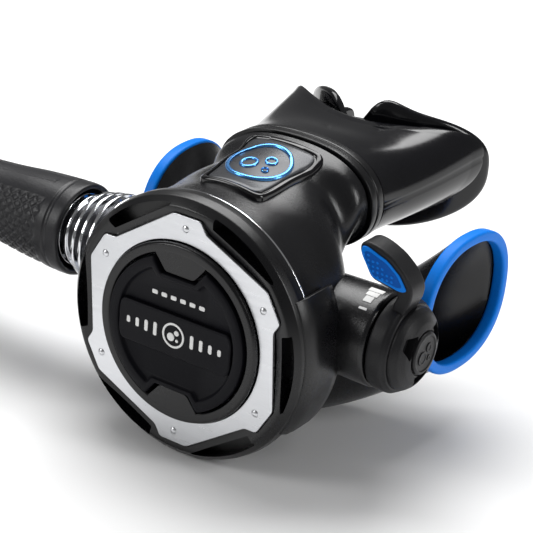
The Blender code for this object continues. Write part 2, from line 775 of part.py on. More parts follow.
def hose_pieces():
    centre = (AXIS_Y, AXIS_Z)
    nut = prism("hose_swivel_nut", [(AXIS_Y + y, AXIS_Z + z) for y, z in hexagon(17.4)],
                -67.0, -57.6, "chrome", "X", pivot=(-62, AXIS_Y, AXIS_Z))
    cut(nut, rod("bore", -70, -55, 4.0, "chrome", "X", centre, 20))
    tube("hose_ferrule_near", -84.2, -67.4, 8.2, 3.2, "chrome", "X", centre)
    turned("hose_protector",
           [(-57.8, 12.6), (-59.6, 13.1), (-70.0, 12.9), (-84.0, 11.5), (-120.0, 9.6),
            (PROTECTOR_END_X, 8.6), (PROTECTOR_END_X, 6.7), (-88.0, 6.7), (-86.0, 10.2),
            (-57.8, 10.8)],
           "rubber_black", "X", centre, 24)
    on_hose_end(tube("hose_ferrule_far", 0.3, 20.1, 8.0, 3.2, "chrome", "X", (0, 0)))
    first_stage_fitting()
    on_hose_end(turned("port_o_ring",
                       [(27.3, 4.5), (27.0 + GAP, 6.0), (28.3, 6.0), (28.3, 5.0)],
                       "rubber_black", "X", (0, 0), 20))


# ---------------------------------------------------------------- assembly

def to_metres():
    for piece in bpy.context.scene.objects:
        piece.data.transform(Matrix.Scale(MM, 4))
        piece.location = piece.location * MM


def main():
    clear_scene()
    front_pieces()
    case_pieces()
    valve_pieces()
    adjuster_pieces()
    inlet_barrel()
    exhaust_pieces()
    mouthpiece_pieces()
    hose_pieces()
    to_metres()
    hose()
    frame = bpy.data.objects.new("regulator_frame", None)
    frame.location = (-CENTRE_X * MM, -CENTRE_Y * MM, -BASE_Z * MM)
    bpy.context.scene.collection.objects.link(frame)
    for piece in list(bpy.context.scene.objects):
        if piece is not frame:
            piece.parent = frame


main()
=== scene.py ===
"""Looks of the scuba regulator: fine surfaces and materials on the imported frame."""
from math import atan2, ceil, copysign, cos, exp, hypot, pi, radians, sin, tan

import bmesh
import bpy
from mathutils import Matrix, Vector


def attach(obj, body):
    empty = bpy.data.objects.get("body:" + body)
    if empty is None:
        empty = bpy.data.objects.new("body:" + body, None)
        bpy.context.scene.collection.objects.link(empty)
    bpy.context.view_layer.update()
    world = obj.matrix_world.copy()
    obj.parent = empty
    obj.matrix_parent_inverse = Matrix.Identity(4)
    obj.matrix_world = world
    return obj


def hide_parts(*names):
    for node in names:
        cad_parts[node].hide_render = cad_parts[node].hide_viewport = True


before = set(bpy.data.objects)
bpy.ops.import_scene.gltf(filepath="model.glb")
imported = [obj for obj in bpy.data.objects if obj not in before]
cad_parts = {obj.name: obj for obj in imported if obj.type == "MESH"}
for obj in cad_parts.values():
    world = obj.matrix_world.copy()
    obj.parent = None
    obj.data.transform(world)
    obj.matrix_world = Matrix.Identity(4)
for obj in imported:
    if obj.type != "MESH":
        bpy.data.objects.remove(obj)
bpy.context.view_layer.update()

# Driving dimensions, in millimetres in the design frame that part.py uses: its origin is the
# middle of the purge disc, Y goes back, and X goes to the knob.
MM = 0.001
CENTRE_X, CENTRE_Y, BASE_Z = -0.2, 53.1, -36.8          # the row's origin, on the floor
AXIS_Y, AXIS_Z = 30.0, 3.0                              # the line of the hose, valve and knob
AXIS = (AXIS_Y, AXIS_Z)

# Front: the tabs reach in over the button, which leaves a bay for each
PURGE_R = 25.0
TAB_REACH, BAY_HALF, BAY_RUN, BAY_RISE = 16.3, 4.95, 3.5, 4.75
MARK_BACK, DASH_LOW, DASH_HIGH = -0.9, 9.1, 10.3
PLATE_FRONT, PLATE_BACK = 1.5, 2.6
PLATE_R, NOTCH_R, DIMPLE_R, PETALS = 32.6, 29.9, 29.0, 6
COVER_R, COVER_FRONT, COVER_BACK, COVER_WALL, LEAF_R = 36.8, 2.9, 9.2, 1.9, 34.9

# Case and its badge
CASE_FRONT, DRUM_R, BOSS_R, BOSS_END, COLLAR_Y = 10.4, 35.2, 13.0, 45.6, 57.5
BADGE_MIDDLE, BADGE_LIFT = (0.0, 32.5), 1.35
BAND_SCALE = 0.68                                       # a bubble's hole to its outside

# Adjuster
KNOB_R, LEVER_LEAN, LEVER_HALF = 12.6, radians(9.5), 3.5
PAD_MIDDLE, PAD_PROUD, FIELD_PROUD = (46.0, 25.6), 0.6, 0.68
DOT_STEP, DOT_SHIFT, DOT_ROW, DOT_ROWS = 1.35, 0.68, 1.4, 5

# Inlet, exhaust and mouthpiece: the tee's values are at its middle, then what its ends add
FIN_R = 14.3
TEE_HALF, RIM_TILT, TEE_POWER, TEE_WALL = 45.3, 0.045, 2.3, 2.0
TEE_Y, TEE_Z, TEE_DEEP, TEE_TALL = (44.5, 21.5), (-21.4, 23.4), (16.5, 4.0), (15.8, 3.4)
MOUTH_Z, MOUTH_POWER, FLANGE_BOW, BOW_HALF, LIFT_HALF = 26.0, 2.3, 16.0, 27, 28

# Hose: straight out of the inlet, down to the floor over DROP_ARC, round its coil, and up a
# little at its end, where the ferrule is thicker than the hose
HOSE_R, HOSE_START_X, STRAIGHT_STEP, PROTECTOR_END_X = 6.25, -84.6, 22.0, -150.0
COIL_START_X, COIL_R, COIL_PITCH, COIL_TURNS, COIL_STEPS = -165.0, 58.0, 15.0, 1.4, 104
DROP_ARC, END_LIFT, LIFT_ARC = radians(150), 1.9, radians(40)
KNURLS, KNURL_PITCH, KNURL_DEPTH = 46, 1.7, 0.45
FIELD_DEPTH, PANEL_STEP, COLLAR_GROOVE = 0.15, 0.3, 0.25
FERRULE_R, FERRULE_NECK, THREAD_STEP = 8.0, 7.55, 1.06


# ---------------------------------------------------------------- materials

CLOUD_SCALE, BUMP_DEPTH = 55.0, 0.0002


def surface(name, colour, roughness, metallic=0.0, grain=2600.0, bump=0.15, spread=0.10,
            tint=0.25, stretch=(1, 1, 1), specular=0.5, anisotropic=0.0):
    """A moulded or machined finish. The fine grain is in its bump and its colour, which varies
    by tint, and grain and clouds together vary its roughness by spread."""
    made = bpy.data.materials.new(name)
    made.use_nodes = True
    nodes, links = made.node_tree.nodes, made.node_tree.links
    shader = nodes["Principled BSDF"]
    shader.inputs["Metallic"].default_value = metallic
    shader.inputs["Specular IOR Level"].default_value = specular
    shader.inputs["Anisotropic"].default_value = anisotropic
    place = nodes.new("ShaderNodeTexCoord")
    scale = nodes.new("ShaderNodeMapping")
    scale.inputs["Scale"].default_value = stretch
    links.new(place.outputs["Object"], scale.inputs["Vector"])
    fine = nodes.new("ShaderNodeTexNoise")
    fine.inputs["Scale"].default_value = grain
    fine.inputs["Detail"].default_value = 3.0
    links.new(scale.outputs["Vector"], fine.inputs["Vector"])
    cloud = nodes.new("ShaderNodeTexNoise")
    cloud.inputs["Scale"].default_value = CLOUD_SCALE
    cloud.inputs["Detail"].default_value = 5.0
    links.new(scale.outputs["Vector"], cloud.inputs["Vector"])
    both = nodes.new("ShaderNodeMath")
    both.operation = "MULTIPLY_ADD"
    both.inputs[1].default_value = 0.5
    links.new(fine.outputs["Fac"], both.inputs[0])
    links.new(cloud.outputs["Fac"], both.inputs[2])
    rough = nodes.new("ShaderNodeMapRange")
    rough.inputs["From Min"].default_value = 0.4
    rough.inputs["From Max"].default_value = 1.1
    rough.inputs["To Min"].default_value = max(0.02, roughness - spread)
    rough.inputs["To Max"].default_value = min(1.0, roughness + spread)
    links.new(both.outputs[0], rough.inputs["Value"])
    links.new(rough.outputs["Result"], shader.inputs["Roughness"])
    blend = nodes.new("ShaderNodeMix")
    blend.data_type = "RGBA"
    blend.inputs[6].default_value = (*[c * (1 - tint) for c in colour], 1)
    blend.inputs[7].default_value = (*[min(1.0, c * (1 + tint)) for c in colour], 1)
    links.new(fine.outputs["Fac"], blend.inputs[0])
    links.new(blend.outputs[2], shader.inputs["Base Color"])
    relief = nodes.new("ShaderNodeBump")
    relief.inputs["Strength"].default_value = bump
    relief.inputs["Distance"].default_value = BUMP_DEPTH
    links.new(fine.outputs["Fac"], relief.inputs["Height"])
    links.new(relief.outputs["Normal"], shader.inputs["Normal"])
    return made


CASE_BLACK = surface("case_black", (0.0050, 0.0050, 0.0060), 0.25, grain=3400, bump=0.22,
                     tint=0.5, specular=0.45)
COVER_BLACK = surface("cover_black", (0.0030, 0.0030, 0.0038), 0.30, grain=3000, bump=0.12,
                      specular=0.40)
GLOSS_BLACK = surface("gloss_black", (0.003, 0.003, 0.004), 0.10, grain=500, bump=0.02,
                      spread=0.04)
PANEL_GREY = surface("badge_panel", (0.045, 0.047, 0.052), 0.30, metallic=0.3, grain=2200,
                     bump=0.05)
BUTTON_RUBBER = surface("button_rubber", (0.0030, 0.0030, 0.0050), 0.48, grain=2800, bump=0.2,
                        specular=0.12)
KNOB_GREY = surface("knob_grey", (0.010, 0.010, 0.0112), 0.42, grain=2400, bump=0.3,
                    specular=0.25)
HOSE_RUBBER = surface("hose_rubber", (0.008, 0.008, 0.009), 0.50, grain=900, bump=0.35,
                      tint=0.3, specular=0.35)
GUARD_RUBBER = surface("guard_rubber", (0.009, 0.009, 0.011), 0.42, grain=1500, bump=0.25,
                       tint=0.3, specular=0.4)
SILICONE = surface("black_silicone", (0.0035, 0.0035, 0.0048), 0.15, grain=700, bump=0.03,
                   spread=0.05, specular=0.42)
PLATE_SILVER = surface("plate_silver", (0.66, 0.67, 0.69), 0.33, metallic=1.0, grain=420,
                       bump=0.12, tint=0.05, stretch=(1, 1, 16), anisotropic=0.4)
CHROME = surface("chrome", (0.80, 0.81, 0.83), 0.10, metallic=1.0, grain=900, bump=0.002,
                 spread=0.03, tint=0.02)
STEEL = surface("steel", (0.42, 0.42, 0.44), 0.32, metallic=1.0, grain=1500, bump=0.1, tint=0.06)
DARK_STEEL = surface("dark_steel", (0.030, 0.030, 0.034), 0.38, metallic=0.3, grain=1500,
                     bump=0.1)
BRASS = surface("brass", (0.70, 0.53, 0.26), 0.28, metallic=1.0, grain=1200, bump=0.08, tint=0.05)
CLEAR = surface("clear_silicone", (0.55, 0.57, 0.60), 0.35, grain=900, bump=0.05, tint=0.05)
WHITE = surface("white_plastic", (0.72, 0.72, 0.70), 0.42, grain=1800, bump=0.08, tint=0.03)
MARK_WHITE = surface("mark_white", (0.78, 0.78, 0.77), 0.45, grain=1800, bump=0.1, tint=0.05)
BLUE = surface("blue_trim", (0.003, 0.19, 0.74), 0.42, grain=1600, bump=0.12, tint=0.10,
               specular=0.12)
BLUE_DARK = surface("blue_field", (0.002, 0.085, 0.40), 0.48, grain=1600, bump=0.12, tint=0.12,
                    specular=0.12)
BLUE_METAL = surface("blue_metal", (0.10, 0.33, 0.75), 0.24, metallic=0.8, grain=900, bump=0.04,
                     tint=0.08)


# ---------------------------------------------------------------- mesh helpers

def point(x, y, z):
    """A design point in the row's frame, in metres."""
    return ((x - CENTRE_X) * MM, (y - CENTRE_Y) * MM, (z - BASE_Z) * MM)


def make_piece(name, points, faces, material, sharp=40, body="housing"):
    """A mesh of design points on a body; body=None makes a tool that is cut away again."""
    mesh = bpy.data.meshes.new(name)
    mesh.from_pydata([point(*p) for p in points], [], faces)
    shell = bmesh.new()
    shell.from_mesh(mesh)
    bmesh.ops.recalc_face_normals(shell, faces=shell.faces)
    shell.to_mesh(mesh)
    shell.free()
    mesh.shade_smooth()
    mesh.set_sharp_from_angle(angle=radians(sharp))
    piece = bpy.data.objects.new(name, mesh)
    piece.data.materials.append(material)
    bpy.context.scene.collection.objects.link(piece)
    if body:
        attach(piece, body)
    return piece


def loft(name, loops, material, ring=False, sharp=40, body="housing"):
    """Skin through equal loops of points; a ring joins the last loop to the first."""
    count = len(loops[0])
    faces = []
    for k in range(len(loops) if ring else len(loops) - 1):
        a, b = k * count, (k + 1) % len(loops) * count
        for i in range(count):
            j = (i + 1) % count
            faces.append((a + i, a + j, b + j, b + i))
    points = [p for loop in loops for p in loop]
    if not ring:
        faces.append(tuple(range(count)))
        faces.append(tuple(range(len(points) - count, len(points))))
    return make_piece(name, points, faces, material, sharp, body)


def filleted(corners, radius, closed=True, parts=4):
    """Round each corner of an outline or a profile with a short curve."""
    shape = []
    count = len(corners)
    for k, corner in enumerate(corners):
        if not closed and k in (0, count - 1):
            shape.append(corner)
            continue
        here = Vector(corner)
        before, after = Vector(corners[k - 1]), Vector(corners[(k + 1) % count])
        ways = []
        for other in (before, after):
            way = other - here
            ways.append(here + way.normalized() * min(radius, way.length * 0.45))
        for step in range(parts + 1):
            t = step / parts
            at = ways[0] * (1 - t) ** 2 + here * 2 * t * (1 - t) + ways[1] * t * t
            shape.append(tuple(at))
    return shape


def around(axis, centre, along, radius, angle):
    """A point on a circle round the X or Y axis, or round a line beside it."""
    if axis == "X":
        return (along, centre[0] + radius * cos(angle), centre[1] + radius * sin(angle))
    return (centre[0] + radius * cos(angle), along, centre[1] + radius * sin(angle))


def turned(name, profile, material, axis="Y", centre=(0, 0), steps=96, edge=0.25, body="housing",
           sharp=40):
    """Turn a profile of (along, radius) points, with its corners rounded. A profile that
    starts and ends on the axis makes a solid, any other is closed into a ring."""
    solid = profile[0][1] == 0
    rows = filleted(profile, edge, closed=not solid)
    if solid:
        rows = rows[1:-1]
    loops = []
    for along, radius in rows:
        loops.append([around(axis, centre, along, radius, 2 * pi * i / steps)
                      for i in range(steps)])
    return loft(name, loops, material, not solid, sharp, body)


def bevel(piece, width, segments=3, angle=35):
    """Round the edges that are sharper than an angle, with a modifier."""
    modifier = piece.modifiers.new("edges", "BEVEL")
    modifier.width = width * MM
    modifier.segments = segments
    modifier.limit_method = "ANGLE"
    modifier.angle_limit = radians(angle)
    modifier.use_clamp_overlap = True
    modifier.harden_normals = True
    return piece


def prism(name, outline, start, end, material, axis="Y", shear=0.0, edge=0.3, body="housing"):
    """Extrude an outline along an axis and round its edges."""
    loops = []
    for along in (start, end):
        if axis == "Y":
            loops.append([(x, along - shear * (z - AXIS_Z), z) for x, z in outline])
        elif axis == "X":
            loops.append([(along, y, z) for y, z in outline])
        else:
            loops.append([(x, y, along) for x, y in outline])
    piece = loft(name, loops, material, body=body)
    return bevel(piece, edge) if edge else piece


def cut(target, tools):
    """Cut the tools out of the target, then take them away."""
    for tool in tools:
        modifier = target.modifiers.new("cut", "BOOLEAN")
        modifier.operation = "DIFFERENCE"
        modifier.solver = "EXACT"
        modifier.object = tool
        bpy.context.view_layer.update()
        depsgraph = bpy.context.evaluated_depsgraph_get()
        result = bpy.data.meshes.new_from_object(target.evaluated_get(depsgraph))
        target.modifiers.clear()
        target.data = result
        bpy.data.objects.remove(tool, do_unlink=True)
    target.data.set_sharp_from_angle(angle=radians(35))


def squircle(a, b, power, count):
    """A superellipse of half-sizes a and b: power 2 is an ellipse, more is squarer."""
    shape = []
    for i in range(count):
        c, s = cos(2 * pi * i / count), sin(2 * pi * i / count)
        shape.append((copysign(abs(c) ** (2 / power), c) * a,
                      copysign(abs(s) ** (2 / power), s) * b))
    return shape


def polar(radius, degrees):
    """A point of the front face, the angle counted clockwise from the top."""
    return (radius * sin(radians(degrees)), radius * cos(radians(degrees)))


def arc(radius, first, last, step):
    """Points of the front face along a circle, at most step degrees apart."""
    count = max(1, ceil(abs(last - first) / step))
    return [polar(radius, first + (last - first) * k / count) for k in range(count + 1)]


def spline_rows(rows, parts):
    """Smooth rows of numbers with a Catmull-Rom curve, parts steps to each span."""
    smooth = []
    for k in range(len(rows) - 1):
        p0, p1 = rows[max(0, k - 1)], rows[k]
        p2, p3 = rows[k + 1], rows[min(len(rows) - 1, k + 2)]
        for step in range(parts):
            t = step / parts
            row = []
            for a, b, c, d in zip(p0, p1, p2, p3):
                row.append(0.5 * (2 * b + (c - a) * t + (2 * a - 5 * b + 4 * c - d) * t * t
                                  + (3 * b - a - 3 * c + d) * t ** 3))
            smooth.append(tuple(row))
    return smooth + [tuple(rows[-1])]


# ---------------------------------------------------------------- camera and light

def camera():
    """The photograph's viewpoint, worked out from the purge disc and the mouthpiece band."""
    lens = bpy.data.cameras.new("camera")
    lens.sensor_width = 36.0
    lens.lens = 128.33
    lens.clip_start = 0.01
    eye = bpy.data.objects.new("camera", lens)
    right = Vector((0.81977, 0.56787, 0.07422))
    up = Vector((-0.29077, 0.30105, 0.90820))
    back = Vector((0.49339, -0.76609, 0.41191))
    turn = Matrix((right, up, back)).transposed().to_4x4()
    eye.matrix_world = Matrix.Translation(point(255.1, -355.8, 218.8)) @ turn
    bpy.context.scene.collection.objects.link(eye)
    bpy.context.scene.camera = eye


def softbox(name, place, target, size, power):
    """A rectangular area light that faces its target."""
    light = bpy.data.lights.new(name, "AREA")
    light.shape = "RECTANGLE"
    light.size, light.size_y = size
    light.energy = power
    lamp = bpy.data.objects.new(name, light)
    lamp.location = place
    lamp.rotation_euler = (Vector(target) - Vector(place)).to_track_quat("-Z", "Y").to_euler()
    bpy.context.scene.collection.objects.link(lamp)


def studio():
    """A white floor, a dim white sky and three soft lights, all in metres."""
    floor_mesh = bpy.data.meshes.new("floor")
    far = 4.0
    floor_mesh.from_pydata([(-far, -far, 0), (far, -far, 0), (far, far, 0), (-far, far, 0)], [],
                           [(0, 1, 2, 3)])
    floor = bpy.data.objects.new("floor", floor_mesh)
    white = surface("floor_white", (0.90, 0.90, 0.90), 0.8, bump=0.0, tint=0.01, specular=0.1)
    floor.data.materials.append(white)
    bpy.context.scene.collection.objects.link(floor)
    world = bpy.data.worlds.new("world")
    world.use_nodes = True
    sky = world.node_tree.nodes["Background"]
    sky.inputs["Color"].default_value = (1.0, 1.0, 1.0, 1)
    sky.inputs["Strength"].default_value = 0.18
    bpy.context.scene.world = world
    bpy.context.scene.view_settings.view_transform = "Standard"
    middle = (0.0, -0.02, 0.04)
    softbox("top_box", (-0.25, 0.30, 0.85), middle, (0.80, 0.65), 11.5)
    softbox("key_box", (-0.60, -0.70, 0.50), middle, (0.30, 0.40), 3.0)
    softbox("side_box", (0.80, 0.10, 0.45), middle, (0.15, 0.45), 2.5)


# ---------------------------------------------------------------- hose

def coil_point(angle):
    """A point of the coil from above; each turn is COIL_PITCH further out than the last."""
    radius = COIL_R + COIL_PITCH * angle / (2 * pi)
    turn = pi / 2 + angle
    return (COIL_START_X + radius * cos(turn), AXIS_Y - COIL_R + radius * sin(turn))


def hose_route(count):
    """Points of the hose's centre line, the same as part.py's, with count steps to the coil."""
    floor = BASE_Z + HOSE_R + 0.05
    route = [(HOSE_START_X - STRAIGHT_STEP * k, AXIS_Y, AXIS_Z) for k in range(4)]
    total = 2 * pi * COIL_TURNS
    for k in range(count + 1):
        angle = total * k / count
        fall = min(1.0, angle / DROP_ARC)
        lift = max(0.0, 1.0 - (total - angle) / LIFT_ARC)
        height = floor + (AXIS_Z - floor) * (0.5 + 0.5 * cos(pi * fall))
        height += END_LIFT * (0.5 - 0.5 * cos(pi * lift))
        x, y = coil_point(angle)
        route.append((x, y, height))
    return route


def hose():
    """The rubber hose, a curve along its route."""
    curve = bpy.data.curves.new("hose_rubber", "CURVE")
    curve.dimensions = "3D"
    curve.bevel_depth = HOSE_R * MM
    curve.bevel_resolution = 10
    curve.use_fill_caps = True
    route = hose_route(COIL_STEPS)
    spline = curve.splines.new("POLY")
    spline.points.add(len(route) - 1)
    for knot, place in zip(spline.points, route):
        knot.co = (*point(*place), 1.0)
    piece = bpy.data.objects.new("hose_rubber", curve)
    piece.data.materials.append(HOSE_RUBBER)
    bpy.context.scene.collection.objects.link(piece)
    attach(piece, "housing")
    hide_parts("hose")
    return piece


def hose_end():
    """The hose's far end and its direction from above."""
    before, last = [Vector(place) for place in hose_route(26)[-2:]]
    step = last - before
    return last, atan2(step.y, step.x)


def move_to_hose_end(piece):
    """Move a piece that was made along +X from the design origin to the hose's far end."""
    place, turn = hose_end()
    home = Vector(point(0, 0, 0))
    spin = Matrix.Rotation(turn, 4, "Z")
    piece.data.transform(Matrix.Translation(point(*place)) @ spin @ Matrix.Translation(-home))


def hexagon(across_flats):
    """A hexagon's corners, from its width between flats."""
    radius = across_flats / 2 / cos(pi / 6)
    return [(radius * cos(pi / 3 * k), radius * sin(pi / 3 * k)) for k in range(6)]


def far_fitting():
    """Ferrule, hexagon, threaded spigot and O-ring that go into a first stage's port."""
    thread = [(28.6, 4.3)]
    for k in range(7):
        thread += [(29.0 + THREAD_STEP * k, 4.76), (29.5 + THREAD_STEP * k, 4.2)]
    body = turned("fitting_body",
                  [(20.4, 0), (20.4, 5.6), (27.0, 5.6), (27.0, 4.2)] + thread
                  + [(36.6, 4.5), (37.4, 4.0), (37.4, 2.3), (33.0, 2.1), (33.0, 0)],
                  CHROME, "X", (0, 0), 64, edge=0.12)
    nut = prism("fitting_hex", hexagon(15.8), 21.5, 27.0, CHROME, "X", edge=0.5)
    sleeve = turned("ferrule_far",
                    [(0.3, FERRULE_R), (5.0, FERRULE_R), (5.6, FERRULE_NECK), (7.2, FERRULE_NECK),
                     (7.8, FERRULE_R), (12.4, FERRULE_R), (13.0, FERRULE_NECK),
                     (14.6, FERRULE_NECK), (15.2, FERRULE_R), (20.1, 7.6), (20.1, 3.2),
                     (0.3, 6.5)],
                    CHROME, "X", (0, 0), 64, edge=0.35)
    seal = turned("o_ring", [(27.3, 4.5), (27.3, 6.0), (28.3, 6.0), (28.3, 5.0)], HOSE_RUBBER,
                  "X", (0, 0), 48, edge=0.5)
    for piece in (body, nut, sleeve, seal):
        move_to_hose_end(piece)
    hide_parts("first_stage_fitting")
    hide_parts("hose_ferrule_far")
    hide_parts("port_o_ring")
    return [body, nut, sleeve, seal]


def eased(value, start, end):
    """0 before start, 1 after end, and a straight ramp between them."""
    return max(0.0, min(1.0, (value - start) / (end - start)))


def protector():
    """Tapered rubber sleeve: a smooth panel on top, a diamond knurl round the rest, and a
    groove near its wide end."""
    count = 300
    outside = [(-54.8, 12.9), (-56.0, 13.5), (-62.0, 13.4), (-72.0, 12.75), (-84.0, 11.5),
               (-100.0, 10.5), (-120.0, 9.6), (-140.0, 8.9), (-149.4, 8.6), (PROTECTOR_END_X, 8.0)]
    rows = spline_rows(outside, 30)
    loops = []
    for x, radius in rows:
        loop = []
        for i in range(count):
            angle = 2 * pi * i / count
            off_top = abs((angle - pi / 2 + pi) % (2 * pi) - pi)
            along, across = x / KNURL_PITCH * pi, angle * KNURLS / 2
            groove = min(abs(sin((along + across) / 2)), abs(sin((along - across) / 2)))
            field = eased(off_top, radians(40), radians(43))
            field *= eased(-x, 62.5, 64.0) * (1 - eased(-x, 143.0, 146.0))
            step = eased(-x, 64.0, 64.6) * (1 - eased(off_top, radians(12), radians(13)))
            collar = eased(-x, 58.8, 59.2) * (1 - eased(-x, 60.0, 60.4))
            depth = KNURL_DEPTH * (1 - eased(groove, 0.0, 0.55)) * field + FIELD_DEPTH * field
            low = radius - depth - PANEL_STEP * step - COLLAR_GROOVE * collar
            loop.append(around("X", AXIS, x, low, angle))
        loops.append(loop)
    for x, radius in ((PROTECTOR_END_X, 6.7), (-88.0, 6.7), (-86.0, 10.2), (-60.0, 10.9),
                      (-56.5, 11.6), (-54.9, 12.2)):
        loops.append([around("X", AXIS, x, radius, 2 * pi * i / count) for i in range(count)])
    piece = loft("hose_guard", loops, GUARD_RUBBER, ring=True, sharp=75)
    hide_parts("hose_protector")
    return piece


def hose_parts():
    """The hose with all that is on it."""
    rubber = hose()
    ends = far_fitting()
    guard = protector()
    route = [Vector(point(*p)) for p in hose_route(COIL_STEPS)]
    for a, b in zip(route, route[1:]):
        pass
    point(HOSE_START_X, AXIS_Y, AXIS_Z)


# ---------------------------------------------------------------- front

def mirrored(outline):
    """The same outline below the middle."""
    return [(x, -z) for x, z in reversed(outline)]


def button_radius(angle, radius, reach):
    """The button's edge at an angle from the top. It is round, with a bay at the top and the
    bottom, whose floor is at reach and whose sides slope by BAY_RISE over BAY_RUN."""
    lean = abs(sin(angle))
    up = abs(cos(angle))
    across = reach / max(up, 1e-6)
    slope = BAY_RISE * lean - BAY_RUN * up
    start = BAY_RISE * (BAY_HALF + TAB_REACH - reach) - BAY_RUN * reach
    beside = start / slope if slope < 0 else 1e6
    return min(radius, max(across, beside))


def button_loop(y, radius, reach, count=288):
    """The button's edge at a depth."""
    loop = []
    for k in range(count):
        angle = 2 * pi * k / count
        r = button_radius(angle, radius, reach)
        loop.append((r * sin(angle), y, r * cos(angle)))
    return loop


def button_marks():
    """White marks instead of lettering: a ring with bubbles, two rows of bars, six dashes."""
    turned("mark_ring", [(-1.25, 2.9), (-1.25, 3.5), (MARK_BACK, 3.5), (MARK_BACK, 2.9)],
           MARK_WHITE, steps=64, edge=0.1, body="purge")
    for x, z, radius in ((-0.8, -0.6, 1.15), (1.0, 0.9, 0.75), (1.2, -1.2, 0.45)):
        turned("mark_bubble", [(-1.22, 0), (-1.22, radius), (MARK_BACK, radius), (MARK_BACK, 0)],
               MARK_WHITE, centre=(x, z), steps=32, edge=0.08, body="purge")
    for side in (-1, 1):
        for k in range(4):
            x = side * (5.9 + 2.9 * k)
            tall = 1.9 - 0.32 * k
            bar = [(x - 0.55, -tall), (x + 0.55, -tall), (x + 0.55, tall), (x - 0.55, tall)]
            prism("mark_bar", filleted(bar, 0.5), -1.25, MARK_BACK, MARK_WHITE, edge=0.1,
                  body="purge")
    for k in range(6):
        x = -7.5 + 3.0 * k
        dash = [(x - 0.9, DASH_LOW), (x + 0.9, DASH_LOW), (x + 0.9, DASH_HIGH),
                (x - 0.9, DASH_HIGH)]
        prism("mark_dash", filleted(dash, 0.4), 0.1, 0.5, MARK_WHITE, edge=0.1, body="purge")


def purge_button():
    """The rubber button: a dished face with a raised band across it, and its stem behind."""
    rim = ((2.0, 21.4, 15.85), (-0.5, 21.4, 15.85), (-0.78, 21.3, 15.75), (-0.9, 21.05, 15.5),
           (-0.9, 18.9, 14.9), (-0.8, 18.6, 14.75), (-0.6, 18.45, 14.65), (0.1, 18.1, 14.3),
           (0.25, 17.8, 14.0))
    body = loft("button_body", [button_loop(*row) for row in rim], BUTTON_RUBBER, body="purge",
                sharp=50)
    turned("button_stem", [(1.8, 0), (1.8, 3.0), (9.8, 3.0), (9.8, 0)], BUTTON_RUBBER, steps=32,
           body="purge")
    ridge = [(-17.0, -6.2), (17.0, -6.2), (17.9, -4.0), (17.9, 3.4), (17.0, 5.6), (-17.0, 5.6),
             (-17.9, 3.4), (-17.9, -4.0)]
    prism("button_band", filleted(ridge, 1.2), -1.1, 0.5, BUTTON_RUBBER, edge=0.55, body="purge")
    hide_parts("purge_button")
    button_marks()


def purge_bezel():
    """The ring round the button, with a tab over each of its bays."""
    ring = turned("bezel_ring", [(0.5, PURGE_R - 0.15), (-0.05, PURGE_R - 0.7), (-0.05, 22.3),
                                 (0.4, 21.85), (2.6, 21.85), (2.6, PURGE_R - 0.15)],
                  COVER_BLACK, steps=144, edge=0.3)
    tab = [(-8.6, 22.6), (-8.0, 20.6), (-4.5, TAB_REACH), (4.5, TAB_REACH), (8.0, 20.6),
           (8.6, 22.6)]
    for outline in (tab, mirrored(tab)):
        prism("bezel_tab", filleted(outline, 0.8), -0.02, 2.5, COVER_BLACK, edge=0.35)
    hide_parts("purge_bezel")


def plate_outline(grow=0.0):
    """Six sides, each an arc that ends in a notch."""
    shape = []
    for k in range(PETALS):
        turn = 360 / PETALS * k
        shape += arc(PLATE_R + grow, turn - 7.5, turn + 7.9, 16)
        shape.append(polar(NOTCH_R + grow * 0.9, turn + 12))
    return shape


def face_plate():
    """The brushed silver plate round the bezel, with a screw dimple on each side."""
    plate = prism("plate", filleted(plate_outline(), 0.9), PLATE_FRONT, PLATE_BACK, PLATE_SILVER,
                  edge=0)
    hole = turned("hole", [(0, 0), (0, PURGE_R + 0.1), (4, PURGE_R + 0.1), (4, 0)], PLATE_SILVER,
                  steps=144, edge=0.01, body=None)
    cut(plate, [hole])
    bevel(plate, 0.22)
    for k in range(PETALS):
        turned("plate_dimple", [(PLATE_FRONT - 0.55, 0), (PLATE_FRONT - 0.5, 0.35),
                                (PLATE_FRONT - 0.25, 0.85), (PLATE_FRONT + 0.1, 1.15),
                                (PLATE_FRONT + 0.2, 0)], PLATE_SILVER,
               centre=polar(DIMPLE_R, 360 / PETALS * k), steps=24, edge=0.2)
    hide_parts("face_plate")


